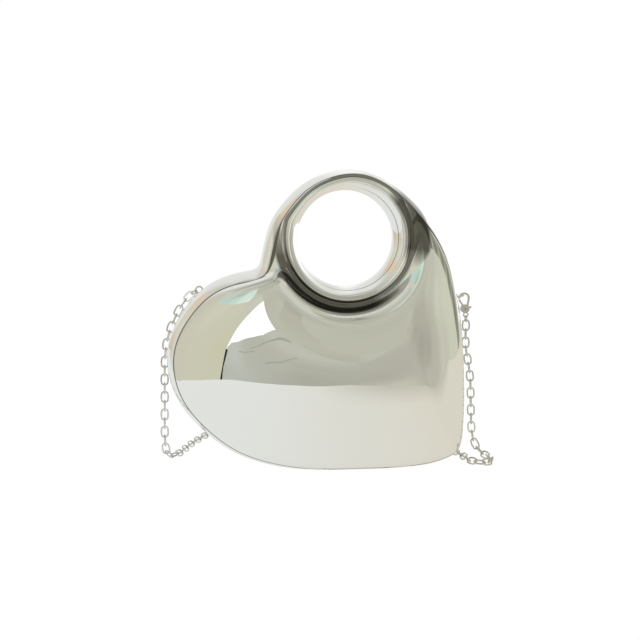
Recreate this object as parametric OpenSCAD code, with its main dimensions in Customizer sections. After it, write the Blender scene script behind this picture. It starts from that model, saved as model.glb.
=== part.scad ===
// Heart clutch: two mirror-plated moulded shells that close like a clam on a
// hinge under the heart, a round hand hole through the upper lobe, linings,
// closing magnets, and a chain strap with a lobster claw on its right end.
// Millimetres. The bag stands on the floor plane, its front faces -Y, and the
// origin is under the middle of the heart.

/* [Heart] */
// Width across the left lobe and the right edge
body_w = 206; // [194:1:218]
// Height from the floor to the top lobe
body_h = 202; // [190:1:214]
// Depth from the front crown to the back crown
body_d = 64; // [58:1:70]
// Wall of both moulded shells
shell_wall = 2; // [1.6:0.1:2.4]
// Depth of the side wall from the widest line forward to the parting line
side_d = 24; // [20:1:27]
// How far the side wall draws in from the widest line to the parting line
rim_inset = 6.1; // [5:0.1:7]
// Gap between the closed shells
parting_gap = 0.7; // [0.6:0.1:0.9]

/* [Hand hole] */
// Radius of the hole at its narrowest, half way through
throat_r = 31.7; // [29:0.1:33]
// Height of the hole's centre over the floor
hole_z = 156; // [152:0.2:158]
// Distance of the hole's centre to the right of the middle
hole_x = 17.6; // [15:0.2:20]
// Radius of the groove round the front and back collars
groove_r = 43.5; // [41.5:0.1:44.5]
// Distance from the middle of the hole to the bottom of the groove
groove_d = 17.5; // [16:0.1:19]
// Distance from the middle of the hole to the top of the collar's bead
bead_d = 21.5; // [20.5:0.1:23]
// Width of the roll from the face down to the groove
roll_w = 6; // [4:0.5:8]

/* [Hinge] */
// Length of the hinge under the heart
hinge_l = 38; // [30:1:44]
// Distance of the hinge's middle to the right of the origin
hinge_x = 24; // [20:1:28]
// Radius of the knuckles
knuckle_r = 1.5; // [1.3:0.05:1.6]
// Radius of the hinge pin
pin_r = 0.7; // [0.6:0.05:0.8]
// Thickness of the hinge leaves
leaf_t = 0.8; // [0.6:0.1:1]
// Distance from the pin to a leaf's far edge
leaf_reach = 6; // [5:0.1:6.2]
// Radius of a hinge screw
screw_r = 0.7; // [0.6:0.05:0.8]

/* [Lining and magnets] */
// Thickness of the fabric linings
lining_t = 0.8; // [0.5:0.1:1.2]
// Radius of a closing magnet
magnet_r = 4.5; // [3.5:0.5:5]
// Thickness of a closing magnet
magnet_t = 2; // [1.5:0.1:2.2]
// Distance from the rim in to a magnet's middle
magnet_in = 12.5; // [12:0.1:14]

/* [Strap] */
// Wire of the strap's links
link_wire = 1.2; // [1.1:0.05:1.3]
// Width over one link
link_w = 6; // [5.8:0.1:6.4]
// Distance from one link to the next
link_pitch = 6.2; // [6:0.05:6.3]
// Wire of the two eyelets
eyelet_wire = 1.3; // [1.2:0.05:1.4]
// Radius to the middle of an eyelet's wire
eyelet_r = 2.55; // [2.5:0.05:2.7]
// Wire of the two jump rings
jump_wire = 1; // [0.9:0.05:1.1]
// Radius to the middle of a jump ring's wire
jump_r = 2.2; // [2.1:0.05:2.4]

/* [Lobster claw] */
// Length over all, from the hook to the eye
claw_l = 18; // [17:0.5:20]
// Width over the hook
claw_w = 8; // [7.6:0.1:8.6]
// Width of the hook's bar
claw_bar = 1.3; // [1.1:0.1:1.4]
// Thickness of the hook
claw_t = 1.8; // [1.4:0.1:2]
// How far the trigger's thumb piece stands out from its rivet
thumb_l = 4.6; // [4:0.1:5]

/* [Hidden] */
$fn = 48;

// The heart's outline at its widest line, clockwise from the top: shares of
// the width from the middle and of the height, the share of a full turn at
// which the line from this point meets the hand hole, and the share of the
// rim's inset that is drawn in here. What lies below the floor is cut flat.
outline_share = [
    [0.099, 1.002, 0.006, 0.70],
    [0.224, 0.966, 0.097, 0.75],
    [0.339, 0.870, 0.190, 0.95],
    [0.421, 0.750, 0.262, 1.00],
    [0.463, 0.616, 0.311, 1.00],
    [0.487, 0.450, 0.353, 1.00],
    [0.499, 0.255, 0.386, 1.00],
    [0.497, 0.112, 0.408, 1.00],
    [0.480, 0.038, 0.423, 1.00],
    [0.421, 0.001, 0.437, 1.00],
    [0.322, -0.021, 0.456, 1.00],
    [0.162, -0.030, 0.483, 1.00],
    [0.000, -0.027, 0.511, 1.00],
    [-0.128, -0.010, 0.533, 1.00],
    [-0.252, 0.029, 0.552, 1.00],
    [-0.353, 0.094, 0.569, 1.00],
    [-0.435, 0.180, 0.586, 1.00],
    [-0.482, 0.265, 0.600, 1.00],
    [-0.500, 0.360, 0.614, 1.00],
    [-0.484, 0.456, 0.628, 1.00],
    [-0.432, 0.547, 0.642, 1.00],
    [-0.361, 0.617, 0.655, 1.00],
    [-0.285, 0.652, 0.667, 1.00],
    [-0.232, 0.664, 0.679, 1.00],
    [-0.200, 0.676, 0.694, 1.00],
    [-0.187, 0.710, 0.714, 1.00],
    [-0.172, 0.777, 0.748, 1.00],
    [-0.147, 0.843, 0.793, 0.95],
    [-0.098, 0.908, 0.848, 0.85],
    [-0.024, 0.968, 0.918, 0.75]
];
// The collar's section from the groove to the middle of the hole: shares of
// the way out from the throat to the groove, and of the bead's distance
collar_share = [
    [0.83, 0.84],
    [0.78, 0.92],
    [0.66, 0.99],
    [0.50, 0.98],
    [0.40, 0.89],
    [0.29, 0.72],
    [0.16, 0.50]
];
// Shares of the way from the parting line to the groove at which the front is sectioned
front_share = [0.02, 0.07, 0.15, 0.27, 0.42, 0.57, 0.72, 0.85, 0.94, 1];
// The same from the widest line on the back
back_share = [0.015, 0.05, 0.12, 0.24, 0.40, 0.58, 0.75, 0.90, 1];
// Shares of the side wall's depth in front of the widest line
side_share = [1, 0.66, 0.33, 0];
// Shares of the tunnel, from the back collar to the parting line
tunnel_share = [-0.5, 0, 0.5];
// The first and last of these sections, and of the columns, that the linings cover
front_lining_rows = [2, 8];
back_lining_rows = [1, 11];
lining_columns = [8, 54];
// How much of the crown is lost between the heart's middle and the hole
front_drop_share = 0.62;
back_drop_share = 0.55;
// Crown over the parting line and over the widest line, for half the depth each
front_gain_share = 1.5;
back_gain_share = 1.36;
// How upright the front and the back start from their edges
front_power = 0.75;
back_power = 0.5;
// Places round the outline, as shares of the way round, and on the back face
left_eyelet_share = 0.681;
left_seat_share = 0.06;
right_eyelet_share = 0.1445;
right_seat_share = 0.004;
magnet_share = [0.117, 0.706];
// The places on the front face over the magnets: shares of the way round and of the way in
boss_face_share = [[0.131, 0.483], [0.654, 0.359]];

parting_y = -side_d / 2;
widest_y = side_d / 2;
front_edge_y = parting_y - parting_gap / 2;
back_edge_y = parting_y + parting_gap / 2;
crown_reach = 40;
foot_gap = 0.6;
// Height of the front shell over the floor, so that it swings clear
front_lift = 1.4;
shell_columns = 72;
fit_gap = 0.1;
run_gap = 0.3;
overrun = 1;

points = len(outline_share);
knots = [for (p = outline_share)
    [p[0] * body_w, p[1] * body_h, 90 - 360 * p[2], p[3] * rim_inset]];

// Point i of a closed list; the angle in column 2 runs on by a full turn
function wrapped(list, i) =
    list[(i + len(list)) % len(list)] - [0, 0, 360 * floor(i / len(list)), 0];
// Moves the control points until the curve passes through the knots
function settled(list, passes) = passes == 0 ? list : settled(
    [for (i = [0 : len(list) - 1])
        (6 * knots[i] - wrapped(list, i - 1) - wrapped(list, i + 1)) / 4],
    passes - 1);
controls = settled(knots, 9);
// The smooth closed curve, with u from 0 to the number of knots
function edge(u) = let (i = floor(u), f = u - i, g = 1 - f)
    (g * g * g * wrapped(controls, i - 1)
        + (4 - 6 * f * f + 3 * f * f * f) * wrapped(controls, i)
        + (4 - 6 * g * g + 3 * g * g * g) * wrapped(controls, i + 1)
        + f * f * f * wrapped(controls, i + 2)) / 6;
function flat(p) = [p[0], p[1]];
function unit(v) = v / norm(v);
curve_step = 0.02;
face_step = 0.001;
// The outward direction across the outline
function outward(u) =
    let (t = flat(edge(u + curve_step)) - flat(edge(u - curve_step)))
    unit([-t[1], t[0]]);
// The outline drawn in by a share of the rim's inset
function drawn_in(u, share) = flat(edge(u)) - outward(u) * edge(u)[3] * share;
// A point on a circle round the hand hole
function round_hole(u, r) = [hole_x, hole_z] + r * [cos(edge(u)[2]), sin(edge(u)[2])];
// The groove's radius, which the parting line limits at the top lobe
function foot_r(u, share) =
    min(groove_r, norm(drawn_in(u, share) - [hole_x, hole_z]) - foot_gap);
function reach(length) = length * length / (length * length + crown_reach * crown_reach);
function placed(p, y) = [p[0], y, p[1]];
// Height of the face over its edge: power sets how upright the edge starts
function face_h(s, length, crown, drop, power) =
    crown * reach(length) * pow(2 * s - s * s, power) * (1 - drop * s * s)
        * (1 - exp(-pow(length * (1 - s) / roll_w, 2)));
front_crown = (body_d / 2 + front_edge_y) * front_gain_share;
back_crown = (body_d / 2 - widest_y) * back_gain_share;

function front_point(u, s) =
    let (a = drawn_in(u, 1), b = round_hole(u, foot_r(u, 1)))
    placed(a + (b - a) * s, front_edge_y - (groove_d + front_edge_y) * s * s
        - face_h(s, norm(b - a), front_crown, front_drop_share, front_power));
// The side wall, at a share of its depth in front of the widest line
function side_point(u, share) =
    placed(drawn_in(u, share * share), widest_y + (back_edge_y - widest_y) * share);
function back_point(u, s) =
    let (a = flat(edge(u)), b = round_hole(u, foot_r(u, 0)))
    placed(a + (b - a) * s, widest_y + (groove_d - widest_y) * s * s
        + face_h(s, norm(b - a), back_crown, back_drop_share, back_power));
function collar_point(u, c, side) =
    placed(round_hole(u, throat_r + (groove_r - throat_r) * c[0]), side * bead_d * c[1]);
last_collar = collar_share[len(collar_share) - 1];
// Radius of the tunnel at a share of the collar's last point
function tunnel_r(share) = throat_r + (groove_r - throat_r) * last_collar[0] * share * share;
function tunnel_point(u, share) =
    placed(round_hole(u, tunnel_r(share)), -share * bead_d * last_collar[1]);

shell_us = [for (i = [0 : shell_columns - 1]) i * points / shell_columns];
// Rows of points on the outside of each shell, from its rim to the tunnel's parting line
function front_rows(us) = [
    [for (u = us) front_point(u, 0)],
    each [for (s = front_share) [for (u = us) front_point(u, s)]],
    each [for (i = [0 : len(collar_share) - 2]) [for (u = us) collar_point(u, collar_share[i], -1)]],
    [for (u = us) placed(round_hole(u, tunnel_r(-front_edge_y / (bead_d * last_collar[1]))),
        front_edge_y)]
];
function back_rows(us) = [
    each [for (s = side_share) [for (u = us) side_point(u, s)]],
    each [for (s = back_share) [for (u = us) back_point(u, s)]],
    each [for (c = collar_share) [for (u = us) collar_point(u, c, 1)]],
    each [for (t = tunnel_share) [for (u = us) tunnel_point(u, t)]],
    [for (u = us) placed(round_hole(u, tunnel_r(-back_edge_y / (bead_d * last_collar[1]))),
        back_edge_y)]
];

// The direction out of the surface at a grid point, from its neighbours
function facing(rows, j, i, flip) =
    let (n = len(rows[0]),
        across = rows[j][(i + 1) % n] - rows[j][(i + n - 1) % n],
        along = rows[min(j + 1, len(rows) - 1)][i] - rows[max(j - 1, 0)][i])
    unit(cross(along, across)) * flip;
// The surface moved inwards, with its two rims kept in their parting plane
function inside(rows, depth, flip) = [for (j = [0 : len(rows) - 1])
    [for (i = [0 : len(rows[0]) - 1])
        let (out = facing(rows, j, i, flip), rim = j == 0 || j == len(rows) - 1)
        rows[j][i] - depth * (rim ? unit([out[0], 0, out[2]]) : out)]];
// The part of a grid that a lining covers
function lined(rows, span) = [for (j = [span[0] : span[1]])
    [for (i = [lining_columns[0] : lining_columns[1]]) rows[j][i]]];
function floored(rows, height) =
    [for (row = rows) [for (p = row) [p[0], p[1], max(p[2], height)]]];

// Two triangles between four grid points, split so that both faces of a wall are parallel
function split(a, b, c, d, fore) = fore ? [[a, b, d], [b, c, d]] : [[a, b, c], [a, c, d]];
// A closed wall between two grids of the same size, the rear one first
module wall(rear, fore) {
    n = len(rear[0]);
    m = len(rear);
    at = function (j, i) (j % (2 * m)) * n + i % n;
    rows = concat(rear, [for (j = [m - 1 : -1 : 0]) fore[j]]);
    polyhedron(
        points = [for (row = rows) each row],
        faces = [for (j = [0 : 2 * m - 1], i = [0 : n - 1])
            each split(at(j, i), at(j + 1, i), at(j + 1, i + 1), at(j, i + 1), j >= m)]);
}
// The same with two open ends, which are closed flat
module sheet(rear, fore) {
    n = len(rear[0]);
    m = len(rear);
    at = function (j, i) (j % (2 * m)) * n + i;
    rows = concat(rear, [for (j = [m - 1 : -1 : 0]) fore[j]]);
    polyhedron(
        points = [for (row = rows) each row],
        faces = [
            each [for (j = [0 : 2 * m - 1], i = [0 : n - 2])
                each split(at(j, i), at(j + 1, i), at(j + 1, i + 1), at(j, i + 1), j >= m)],
            each [for (j = [0 : m - 2]) let (k = 2 * m - 1 - j)
                each [[at(j, 0), at(k, 0), at(k - 1, 0)], [at(j, 0), at(k - 1, 0), at(j + 1, 0)],
                    [at(j, n - 1), at(k - 1, n - 1), at(k, n - 1)],
                    [at(j, n - 1), at(j + 1, n - 1), at(k - 1, n - 1)]]]
        ]);
}

// Moves its children to a frame with the given axes, all square to each other
module framed(origin, x, y, z) {
    multmatrix([
        [x[0], y[0], z[0], origin[0]],
        [x[1], y[1], z[1], origin[1]],
        [x[2], y[2], z[2], origin[2]],
        [0, 0, 0, 1]
    ]) children();
}
module torus(r, wire) {
    rotate_extrude() translate([r, 0]) circle(wire / 2);
}

// The hinge: its pin runs along X, and both leaves lie on the shells' insides
hinge_lift = 0.25;
hinge_z = knuckle_r + hinge_lift;
hinge_axis = [hinge_x, parting_y, hinge_z];
knuckles = 5;
knuckle_gap = 0.2;
screws = 3;
screw_head_share = 1.9;
screw_head_t = 0.5;
screw_grip_share = 0.7;
leaf_seat_gap = 0.15;
hinge_u_share = 0.378;
hinge_u = hinge_u_share * points;
hinge_margin = 12;
front_foot = front_point(hinge_u, front_share[0]);
front_shin = front_point(hinge_u, front_share[1]);
front_tilt = atan2(front_shin[2] - front_foot[2], front_foot[1] - front_shin[1]);
front_in = [0, sin(front_tilt), cos(front_tilt)];
// The columns over the hinge, from left to right
hinge_us = [for (i = [shell_columns - 1 : -1 : 0]) let (p = drawn_in(shell_us[i], 1))
    if (p[1] < hole_z - groove_r && abs(p[0] - hinge_x) < hinge_l / 2 + hinge_margin) shell_us[i]];
hinge_ends = [hinge_x - hinge_l / 2, hinge_x + hinge_l / 2];
// The highest that the rim stands over the floor at the hinge, and the furthest that
// the front wall reaches in towards it
rim_rise = [for (u = hinge_us) let (p = drawn_in(u, 1)) [p[0], max(p[1], 0)]];
front_reach = [for (s = [front_share[0], front_share[1]])
    [for (u = hinge_us) let (p = front_point(u, s)) [p[0], (p - hinge_axis) * front_in]]];
back_seat = max([for (x = hinge_ends) lookup(x, rim_rise)]) + shell_wall - hinge_z + leaf_seat_gap;
front_seat = max([for (x = hinge_ends, row = front_reach) lookup(x, row)])
    + shell_wall + 2 * leaf_seat_gap;

// The back leaf's frame: y away from the pin, z off the shell
module at_back_leaf() {
    translate(hinge_axis) children();
}
module at_front_leaf() {
    translate(hinge_axis) rotate([-front_tilt, 0, 0]) mirror([0, 1, 0]) children();
}
module hinge_notch() {
    notch_r = knuckle_r + run_gap;
    translate([hinge_x - hinge_l / 2 - run_gap, parting_y - notch_r, -overrun])
        cube([hinge_l + 2 * run_gap, 2 * notch_r, hinge_z + notch_r + leaf_t + overrun]);
}
function screw_x(i) = hinge_l * ((i + 0.5) / screws - 0.5);
screw_y = leaf_reach - screw_r * screw_head_share - leaf_seat_gap;
module screw_holes(seat) {
    for (i = [0 : screws - 1])
        translate([screw_x(i), screw_y, seat - leaf_seat_gap - shell_wall * screw_grip_share])
            cylinder(h = shell_wall + leaf_t + overrun, r = screw_r + fit_gap / 2);
}
// The pad on the shell's inside that a leaf is screwed down on
pad_root_share = 0.6;
module hinge_pad(seat) {
    translate([-hinge_l / 2, knuckle_r, seat - leaf_seat_gap - shell_wall * pad_root_share])
        cube([hinge_l, leaf_reach - knuckle_r, shell_wall * pad_root_share]);
}
// One leaf with the knuckles whose number leaves the given rest
module hinge_leaf(seat, rest) {
    piece = hinge_l / knuckles;
    difference() {
        union() {
            translate([-hinge_l / 2, knuckle_r + run_gap, seat])
                cube([hinge_l, leaf_reach - knuckle_r - run_gap, leaf_t]);
            for (k = [0 : knuckles - 1])
                if (k % 2 == rest)
                    translate([-hinge_l / 2 + k * piece + knuckle_gap / 2, 0, 0]) {
                        rotate([0, 90, 0]) cylinder(h = piece - knuckle_gap, r = knuckle_r);
                        translate([0, knuckle_r / 2, 0])
                            cube([piece - knuckle_gap, knuckle_r / 2, seat + leaf_t]);
                        translate([0, knuckle_r / 2, seat])
                            cube([piece - knuckle_gap, leaf_reach - screw_y, leaf_t]);
                    }
        }
        translate([-hinge_l / 2 - overrun, 0, 0])
            rotate([0, 90, 0]) cylinder(h = hinge_l + 2 * overrun, r = pin_r + fit_gap / 2);
        screw_holes(seat);
    }
}
module hinge_screws(seat) {
    for (i = [0 : screws - 1])
        translate([screw_x(i), screw_y, seat + leaf_t]) {
            cylinder(h = screw_head_t, r = screw_r * screw_head_share);
            translate([0, 0, -leaf_t - leaf_seat_gap - shell_wall * screw_grip_share + fit_gap])
                cylinder(h = leaf_t + leaf_seat_gap + shell_wall * screw_grip_share - fit_gap,
                    r = screw_r);
        }
}

// The eyelets: a flange on the shell's back shoulder, a post through the wall
flange_r = 2.3;
flange_t = 0.6;
post_r = 1.2;
washer_r = 2.8;
washer_t = 0.5;
nut_r = 2.6;
nut_t = 1.6;
ring_sink_share = 0.3;
eyelet_up = fit_gap + flange_t + eyelet_r + eyelet_wire / 2 - eyelet_wire * ring_sink_share;
function seat_normal(u, s) = unit(cross(
    back_point(u + curve_step, s) - back_point(u - curve_step, s),
    back_point(u, s + face_step) - back_point(u, s - face_step)));
left_u = left_eyelet_share * points;
right_u = right_eyelet_share * points;
left_n = seat_normal(left_u, left_seat_share);
right_n = seat_normal(right_u, right_seat_share);
left_seat = back_point(left_u, left_seat_share);
right_seat = back_point(right_u, right_seat_share);
// The frame of an eyelet: z out of the wall, y to the back
module at_eyelet(seat, n) {
    x = unit(cross([0, 1, 0], n));
    framed(seat, x, cross(n, x), n) children();
}
module at_both_eyelets() {
    at_eyelet(left_seat, left_n) children();
    at_eyelet(right_seat, right_n) children();
}
module eyelet_hole() {
    depth = shell_wall + washer_t + nut_t + overrun;
    translate([0, 0, -depth]) cylinder(h = depth + overrun, r = post_r + fit_gap);
    translate([0, 0, -depth]) cylinder(h = depth - shell_wall, r = washer_r + run_gap);
}
module eyelet(turn) {
    post_l = shell_wall + washer_t + nut_t + 3 * fit_gap;
    union() {
        translate([0, 0, fit_gap]) cylinder(h = flange_t, r = flange_r);
        translate([0, 0, -post_l]) cylinder(h = post_l + fit_gap + flange_t, r = post_r);
        translate([0, 0, eyelet_up]) rotate([90, 0, turn]) torus(eyelet_r, eyelet_wire);
    }
}
right_turn = 80;

// The strap's left end: a jump ring through the eyelet, then the first link
ring_gap = 0.1;
ring_slack = 0.3;
link_l = link_pitch + ring_slack + 2 * link_wire;
// From a link's joint with its neighbour out to the middle of its end wire
joint_over = (link_l - link_wire - link_pitch) / 2;
function hooked(wire_a, wire_b) = (wire_a + wire_b) / 2 + ring_gap;
left_ring = left_seat + left_n * eyelet_up;
right_ring = right_seat + right_n * eyelet_up;
left_lean_share = 0.35;
left_down = unit(-unit(cross([0, 1, 0], left_n)) + left_n * left_lean_share);
left_axis = cross(left_n, unit(cross([0, 1, 0], left_n)));
left_jump = left_ring + left_down * (eyelet_r - hooked(eyelet_wire, jump_wire) + jump_r);
left_start = left_jump + left_down * (jump_r - hooked(jump_wire, link_wire) + joint_over);

// The strap's right end: a claw that hooks the eyelet, and its jump ring
hook_r = (claw_w - claw_bar) / 2;
hook_gap = 0.4;
hook_wire_up = hook_r - (claw_bar + eyelet_wire) / 2 - hook_gap;
// Puts the hook's arm in the middle of the eyelet's hole
claw_shift = 0.6;
claw_tilt = -3;
claw_origin = right_ring + right_n * eyelet_r + [claw_shift, 0, -hook_wire_up];
eye_wire = 1;
eye_r = 1.6;
eye_x = 0.9;
eye_z = claw_w / 2 + eye_r + eye_wire / 2 - claw_l;
claw_down = [-sin(claw_tilt), 0, -cos(claw_tilt)];
claw_side = [cos(claw_tilt), 0, -sin(claw_tilt)];
claw_eye = claw_origin + claw_side * eye_x - claw_down * eye_z;
right_jump = claw_eye + claw_down * (eye_r - hooked(eye_wire, jump_wire) + jump_r);
right_end = right_jump + claw_down * (jump_r - hooked(jump_wire, link_wire) + joint_over);

// The claw's rivet, slot and trigger
rivet_r = 0.5;
rivet_head_r = 0.85;
rivet_head_t = 0.25;
pivot_x = 0.4;
pivot_share = 0.42;
pivot_z = -claw_l * pivot_share;
claw_base_r = 3;
claw_base_t = 3;
slot_t = 1.2;
slot_down = 1.9;
slot_up = 3.2;
trigger_t = 1;
hub_r = 1.4;
gate_w = 1.2;
thumb_r = 0.8;
thumb_rise = 0.9;
tip_l = 0.2;
gate_gap = 0.5;
gate_tip = [-hook_r, -gate_w / 2 - tip_l - gate_gap];
spring_wire = 0.24;
spring_sweep = 140;

module at_claw() {
    translate(claw_origin) rotate([0, claw_tilt, 0]) children();
}
// A plate in the claw's plane, centred on it
module plate(t) {
    rotate([90, 0, 0]) translate([0, 0, -t / 2]) linear_extrude(t) children();
}
// A straight bar between two points of the claw's plane
module bar(a, b, w) {
    side = unit([a[1] - b[1], b[0] - a[0]]) * w / 2;
    polygon([a + side, b + side, b - side, a - side]);
}

// The strap's route: hand-chosen points, and a flat double spiral behind the heart
left_hang = [[-90, 22, 114], [-96, 21, 104.7], [-101.2, 20, 93], [-104, 19.5, 82.5],
    [-105.3, 19, 68.5], [-105.8, 19, 44], [-106.3, 19, 16]];
left_floor = [[-105, 20.5, 5], [-101.5, 25, 2.7], [-97, 32, 2.6], [-90, 56, 2.6],
    [-81, 78.5, 2.6], [-68, 103, 2.6], [-44, 125, 2.6], [-18, 137, 2.6]];
right_floor = [[40, 46.5, 2.6], [62, 45.5, 2.6], [82, 39, 2.6], [93, 29, 2.6],
    [99, 18, 2.6], [102.6, 6, 2.6], [104, -5, 2.6], [110, -12.6, 2.6],
    [117.5, -10.5, 2.6], [120.3, -2.5, 2.6], [118.4, 5.5, 2.9], [115.4, 11, 5]];
right_hang = [[112.6, 13.8, 10.5], [111.2, 15.3, 19], [110.5, 16.5, 40], [110, 17, 55],
    [107.8, 16.5, 69], [105.8, 16, 79]];
coil_centre = [9, 92, 2.6];
coil_r = 48;
coil_step = 16;
coil_turns = 1.375;
coil_start = 100;
coil_parts = 12;
spiral_steps = round(coil_turns * coil_parts);
core_r = coil_r - coil_step * coil_turns;
core_angle = coil_start - 360 * coil_turns;
function on_coil(r, angle) = coil_centre + r * [cos(angle), sin(angle), 0];
coil = [
    each [for (k = [0 : spiral_steps - 1])
        on_coil(coil_r - coil_step * k / coil_parts, coil_start - 360 * k / coil_parts)],
    each [for (k = [0 : coil_parts / 2])
        on_coil(core_r / 2, core_angle)
            + core_r / 2 * [cos(core_angle - 360 * k / coil_parts),
                sin(core_angle - 360 * k / coil_parts), 0]],
    each [for (k = [1 : coil_parts / 2])
        on_coil(core_r / 2, core_angle + 180)
            + core_r / 2 * [cos(core_angle + 360 * k / coil_parts),
                sin(core_angle + 360 * k / coil_parts), 0]],
    each [for (k = [1 : spiral_steps])
        on_coil(core_r + coil_step * k / coil_parts, core_angle + 180 + 360 * k / coil_parts)]
];
route = concat([left_start], left_hang, left_floor, coil, right_floor, right_hang, [right_end]);
route_steps = 6;
// A smooth line through the route's points
function before(i) = i > 0 ? route[i - 1] : 2 * route[0] - route[1];
function after(i) = i < len(route) - 2 ? route[i + 2] : 2 * route[i + 1] - route[i];
function along_route(i, f) =
    let (a = before(i), b = route[i], c = route[i + 1], d = after(i))
    b + f * (c - a) / 2 + f * f * (a - 2.5 * b + 2 * c - d / 2)
        + f * f * f * ((d - a) / 2 + 1.5 * (b - c));
line = [
    each [for (i = [0 : len(route) - 2], k = [0 : route_steps - 1]) along_route(i, k / route_steps)],
    route[len(route) - 1]
];
distance = [for (i = 0, s = 0; i < len(line);
    s = s + (i < len(line) - 1 ? norm(line[i + 1] - line[i]) : 0), i = i + 1) s];
chain_l = distance[len(line) - 1];
tables = [for (axis = [0 : 2]) [for (i = [0 : len(line) - 1]) [distance[i], line[i][axis]]]];
// An odd number of links, so that both ends lie alike
links = 2 * round((chain_l / link_pitch - 1) / 2) + 1;
function joint(i) = [for (axis = [0 : 2]) lookup(i * chain_l / links, tables[axis])];
function first_link(points_before) = round(distance[points_before * route_steps] / chain_l * links);
left_floor_from = first_link(len(left_hang));
coil_from = first_link(len(left_hang) + len(left_floor) + 1);
right_floor_from = first_link(len(left_hang) + len(left_floor) + len(coil));
right_hang_from = first_link(len(route) - len(right_hang) - 1);
// Across the bend where each hanging end meets the floor
left_side = [-0.81, 0.58, 0];
right_side = [-0.8, -0.6, 0];
function link_side(i, t) =
    i < left_floor_from ? left_side : i >= right_hang_from ? right_side : cross([0, 0, 1], t);

module link() {
    straight = link_l - link_w;
    bend_r = (link_w - link_wire) / 2;
    union() {
        for (turn = [0, 180])
            rotate(turn) {
                translate([straight / 2, 0, 0]) rotate(-90)
                    rotate_extrude(angle = 180) translate([bend_r, 0]) circle(link_wire / 2);
                translate([-straight / 2, bend_r, 0]) rotate([0, 90, 0])
                    cylinder(h = straight, r = link_wire / 2);
            }
    }
}
// Links lie alternately a quarter turn apart, each on the chord of its joints
module chain(first, last) {
    color("gainsboro")
        for (i = [first : last - 1]) {
            a = joint(i);
            b = joint(i + 1);
            t = unit(b - a);
            rough = link_side(i, t);
            side = unit(rough - t * (rough * t));
            n = unit(side + cross(t, side) * (i % 2 == 0 ? 1 : -1));
            framed((a + b) / 2, t, cross(n, t), n) link();
        }
}

module back_shell() {
    rows = back_rows(shell_us);
    color("gainsboro") difference() {
        union() {
            wall(floored(rows, 0), floored(inside(rows, shell_wall, -1), shell_wall));
            at_back_leaf() hinge_pad(back_seat);
        }
        hinge_notch();
        at_back_leaf() screw_holes(back_seat);
        at_both_eyelets() eyelet_hole();
    }
}
module front_shell() {
    rows = front_rows(shell_us);
    color("silver") union() {
        difference() {
            union() {
                wall(floored(inside(rows, shell_wall, 1), front_lift + shell_wall),
                    floored(rows, front_lift));
                at_front_leaf() hinge_pad(front_seat);
            }
            translate([-body_w, front_edge_y, -body_h]) cube([2 * body_w, body_d, 3 * body_h]);
            hinge_notch();
            at_front_leaf() screw_holes(front_seat);
        }
        for (k = [0, 1])
            magnet_boss(k, boss_r);
    }
}
module back_lining() {
    rows = back_rows(shell_us);
    outer = shell_wall + run_gap;
    inner = outer + lining_t;
    color("dimgray") difference() {
        sheet(floored(lined(inside(rows, outer, -1), back_lining_rows), outer),
            floored(lined(inside(rows, inner, -1), back_lining_rows), inner));
        at_both_eyelets() translate([0, 0, -shell_wall - washer_t - nut_t - overrun])
            cylinder(h = shell_wall + nut_t + overrun, r = washer_r + run_gap);
    }
}
module front_lining() {
    rows = front_rows(shell_us);
    outer = shell_wall + run_gap;
    inner = outer + lining_t;
    color("dimgray") difference() {
        sheet(floored(lined(inside(rows, inner, 1), front_lining_rows), front_lift + inner),
            floored(lined(inside(rows, outer, 1), front_lining_rows), front_lift + outer));
        for (k = [0, 1])
            magnet_boss(k, boss_r + run_gap);
    }
}
module hinge_back_leaf() {
    color("lightgray") at_back_leaf() hinge_leaf(back_seat, 0);
}
module hinge_front_leaf() {
    color("lightgray") at_front_leaf() hinge_leaf(front_seat, 1);
}
module hinge_pin() {
    color("silver") translate(hinge_axis - [hinge_l / 2, 0, 0]) rotate([0, 90, 0])
        cylinder(h = hinge_l, r = pin_r);
}
module hinge_back_screws() {
    color("silver") at_back_leaf() hinge_screws(back_seat);
}
module hinge_front_screws() {
    color("silver") at_front_leaf() hinge_screws(front_seat);
}

// The closing magnets meet across the parting line
magnet_setback = 0.15;
bracket_t = 1.2;
// The frame of a magnet: x out to the rim, z to the back
module at_magnet(k) {
    u = magnet_share[k] * points;
    x = placed(outward(u), 0);
    framed(placed(drawn_in(u, 1) - outward(u) * magnet_in, 0), x, cross([0, 1, 0], x), [0, 1, 0])
        children();
}
// The boss that carries a front magnet, from the front wall out to the magnet
boss_r = 2;
boss_root_share = 0.6;
magnet_front_y = front_edge_y - magnet_setback - magnet_t;
module magnet_boss(k, r) {
    face_y = front_point(boss_face_share[k][0] * points, boss_face_share[k][1])[1];
    root_y = face_y + shell_wall * boss_root_share;
    at_magnet(k) translate([0, 0, root_y]) cylinder(h = magnet_front_y - root_y, r = r);
}
magnet_back_y = back_edge_y + magnet_setback + magnet_t;
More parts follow.
